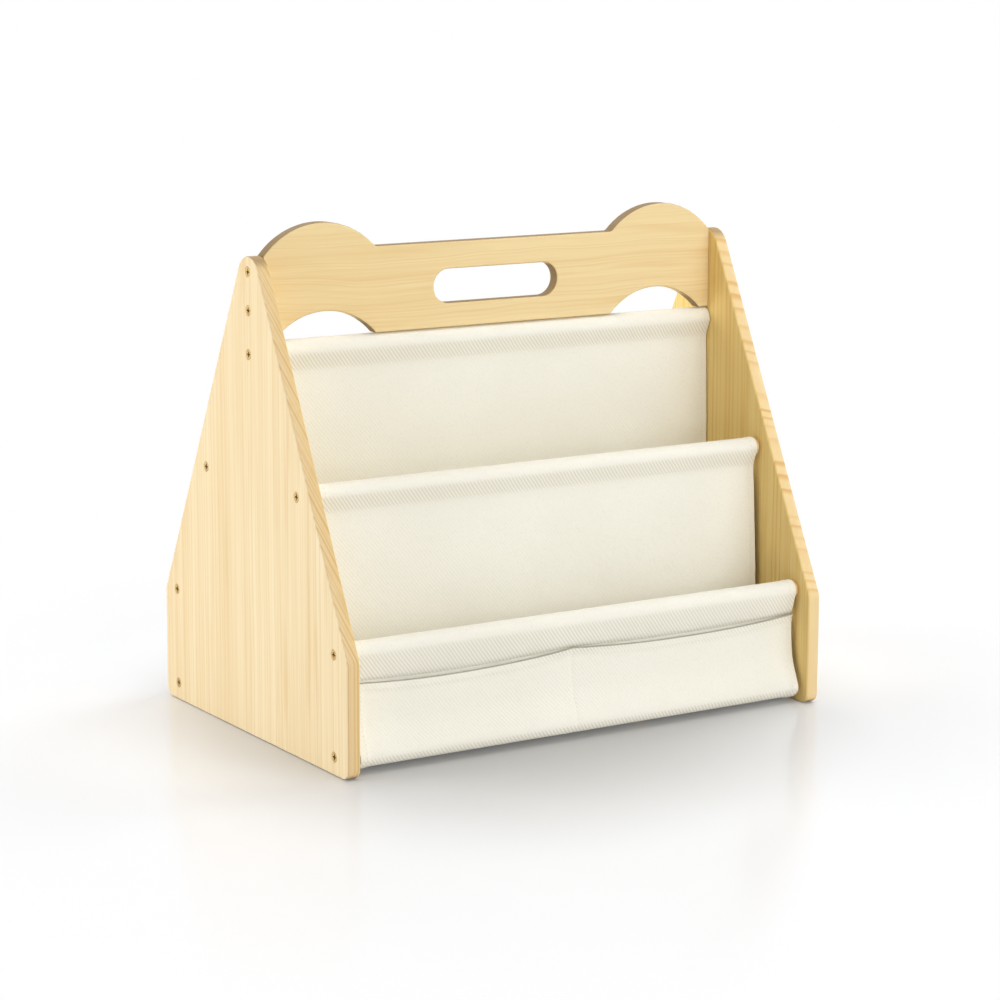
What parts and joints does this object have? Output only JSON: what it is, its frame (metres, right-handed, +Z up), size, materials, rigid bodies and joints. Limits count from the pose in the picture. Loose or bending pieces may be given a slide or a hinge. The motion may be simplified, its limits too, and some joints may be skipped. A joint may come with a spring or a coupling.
{
  "type": "sling bookshelf",
  "caption": "Two-sided children's sling bookshelf: peaked wooden side panels, dowels and a handle board with rounded ears carry cream canvas pockets and low pouches.",
  "frame": {"origin": "on the floor, under the middle of the shelf's outer box", "axes": "+X to the right along the rods, +Y to the rear, +Z up"},
  "size_m": [0.48, 0.3294, 0.4354],
  "materials": {
    "panel_wood": "clear satin, pale pine",
    "board_wood": "clear satin, pale pine",
    "rod_wood": "sanded, unpainted dowel",
    "canvas": "matt cream twill canvas",
    "brass_plate": "yellow zinc-plated wood screw"
  },
  "bodies": {
    "root": {"left_side_panel": "panel_wood", "right_side_panel": "panel_wood", "handle_board": "board_wood", "top_rod": "rod_wood", "front_middle_rod": "rod_wood", "front_lower_rod": "rod_wood", "front_bottom_rod": "rod_wood", "rear_middle_rod": "rod_wood", "rear_lower_rod": "rod_wood", "rear_bottom_rod": "rod_wood", "front_sling": "canvas", "rear_sling": "canvas", "front_pouch": "canvas", "rear_pouch": "canvas", "left_screw_board_upper": "brass_plate", "right_screw_board_upper": "brass_plate", "left_screw_board_lower": "brass_plate", "right_screw_board_lower": "brass_plate", "left_screw_top_rod": "brass_plate", "right_screw_top_rod": "brass_plate", "left_screw_front_middle_rod": "brass_plate", "right_screw_front_middle_rod": "brass_plate", "left_screw_front_lower_rod": "brass_plate", "right_screw_front_lower_rod": "brass_plate", "left_screw_front_bottom_rod": "brass_plate", "right_screw_front_bottom_rod": "brass_plate", "left_screw_rear_middle_rod": "brass_plate", "right_screw_rear_middle_rod": "brass_plate", "left_screw_rear_lower_rod": "brass_plate", "right_screw_rear_lower_rod": "brass_plate", "left_screw_rear_bottom_rod": "brass_plate", "right_screw_rear_bottom_rod": "brass_plate"}
  },
  "joints": []
}
